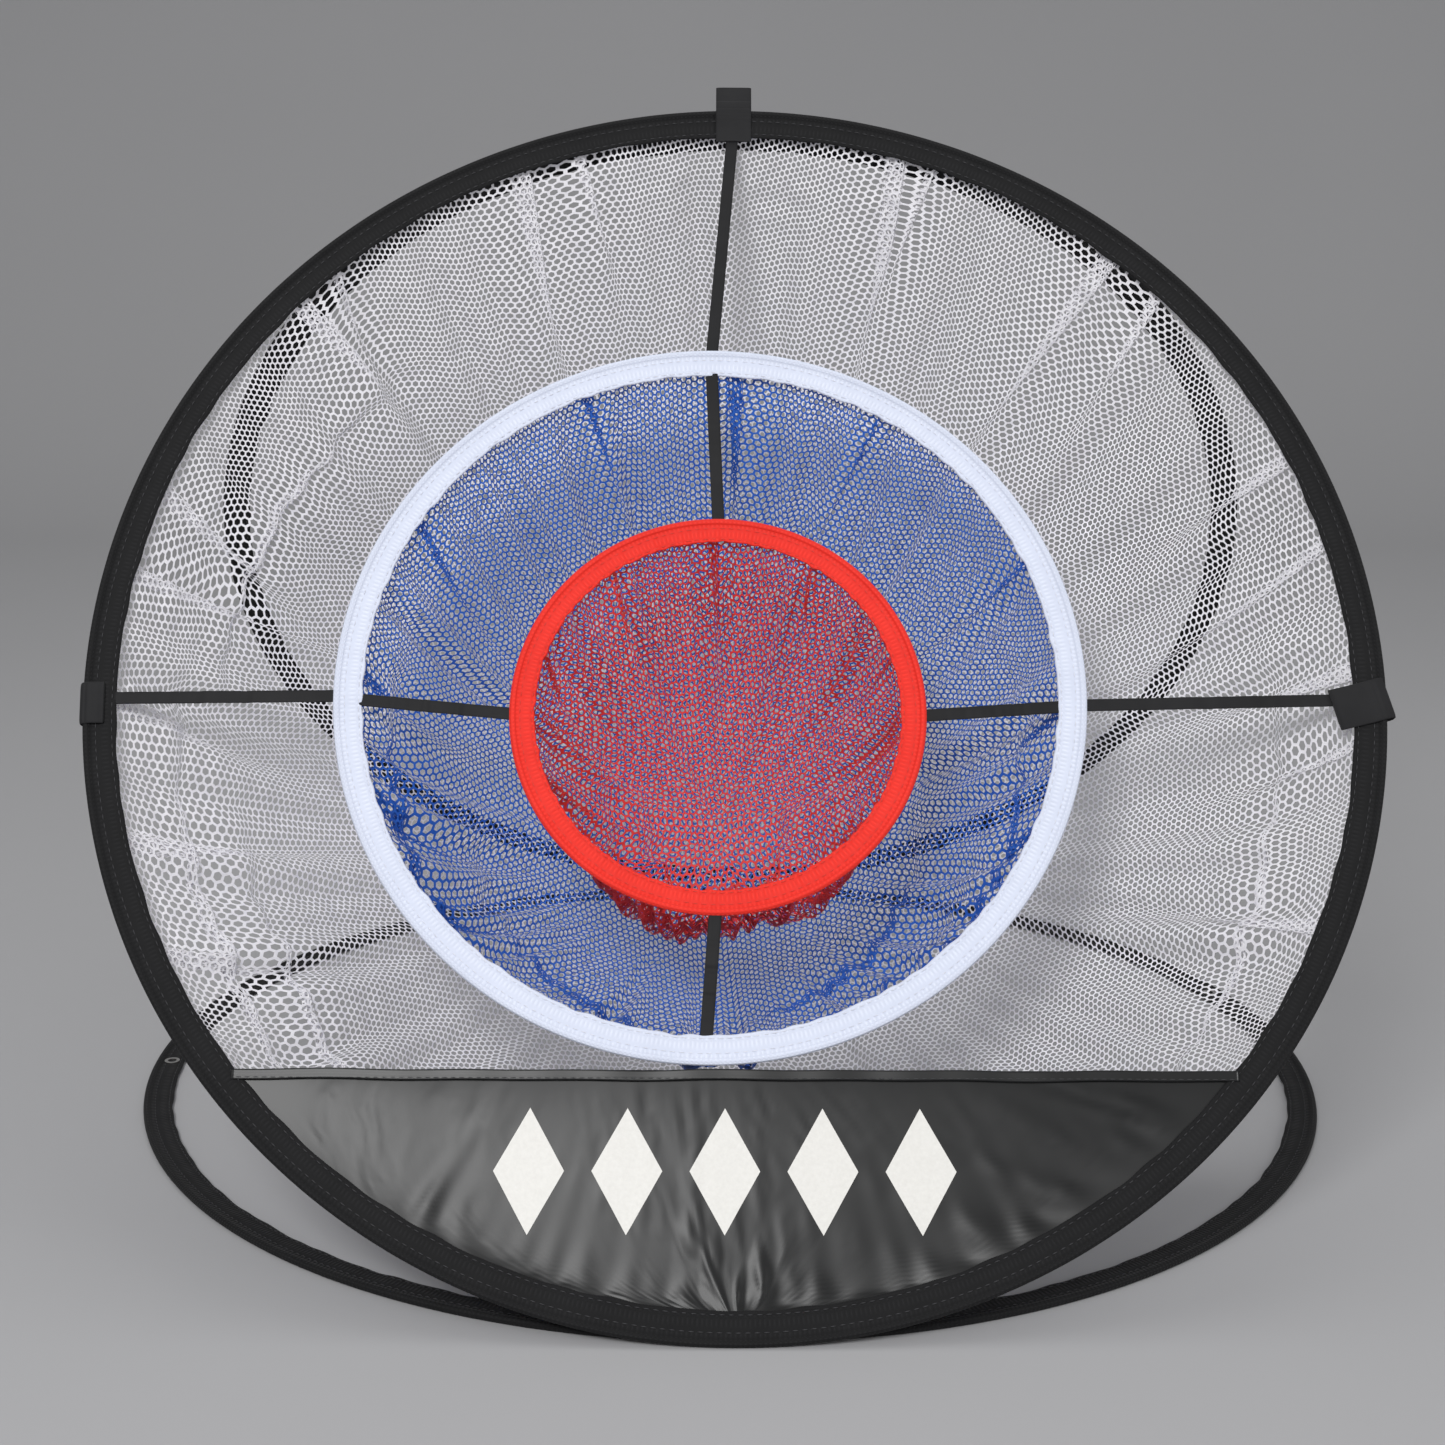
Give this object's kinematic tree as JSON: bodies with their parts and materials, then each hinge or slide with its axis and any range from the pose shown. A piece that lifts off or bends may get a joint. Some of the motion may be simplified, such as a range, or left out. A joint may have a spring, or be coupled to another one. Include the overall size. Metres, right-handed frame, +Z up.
{
  "type": "golf chipping net",
  "caption": "Pop-up golf chipping net: sprung hoops in fabric sleeves stand as a tent and hold nested target rings with mesh pouches.",
  "frame": {"origin": "middle of the base hoop on the ground", "axes": "+Z up, the front hoop faces -Y, X across"},
  "size_m": [0.54, 0.5472, 0.4454],
  "materials": {
    "black_tape": "woven polyester tape",
    "black_nylon": "satin nylon",
    "white_tape": "woven polyester tape",
    "red_tape": "woven polyester tape",
    "black_elastic": "ribbed elastic",
    "white_mesh": "hexagonal warp-knit mesh",
    "blue_mesh": "hexagonal warp-knit mesh",
    "red_mesh": "hexagonal warp-knit mesh",
    "spring_steel": "spring wire",
    "ferrule_metal": "crimped tube",
    "eyelet_metal": "nickel plate",
    "white_print": "heat-transfer print"
  },
  "bodies": {
    "base": {"base_sleeve": "black_tape", "base_wire": "spring_steel", "base_wire_ferrule": "ferrule_metal", "base_eyelets": "eyelet_metal", "front_seam_tape": "black_tape", "rear_seam_tape": "black_tape"},
    "front_hoop": {"front_sleeve": "black_tape", "front_wire": "spring_steel", "front_wire_ferrule": "ferrule_metal", "apron_panel": "black_nylon", "apron_hem": "black_nylon", "apron_print": "white_print", "white_ring_sleeve": "white_tape", "white_ring_wire": "spring_steel", "white_ring_wire_ferrule": "ferrule_metal", "red_ring_sleeve": "red_tape", "red_ring_wire": "spring_steel", "red_ring_wire_ferrule": "ferrule_metal", "strap_top_outer": "black_elastic", "strap_left_outer": "black_elastic", "strap_right_outer": "black_elastic", "strap_top_inner": "black_elastic", "strap_left_inner": "black_elastic", "strap_right_inner": "black_elastic", "strap_bottom_inner": "black_elastic", "tab_top": "black_tape", "tab_top_hook_pad": "black_elastic", "tab_left": "black_tape", "tab_right": "black_tape", "outer_net": "white_mesh", "middle_net": "blue_mesh", "inner_net": "red_mesh"},
    "rear_hoop": {"rear_sleeve": "black_tape", "rear_wire": "spring_steel", "rear_wire_ferrule": "ferrule_metal", "rear_top_tab": "black_tape"}
  },
  "joints": [
    {"name": "front_fold", "type": "hinge", "parent": "base", "child": "front_hoop", "pos_m": [0, -0.272, 0.0016], "axis": [1, 0, 0], "range_deg": [0, 121.4]},
    {"name": "rear_fold", "type": "hinge", "parent": "base", "child": "rear_hoop", "pos_m": [0, 0.272, 0.0051], "axis": [1, 0, 0], "range_deg": [0, 56.7]}
  ],
  "couplings": [
    {"joint": "rear_fold", "follows": "front_fold", "ratio": 0.4666}
  ]
}
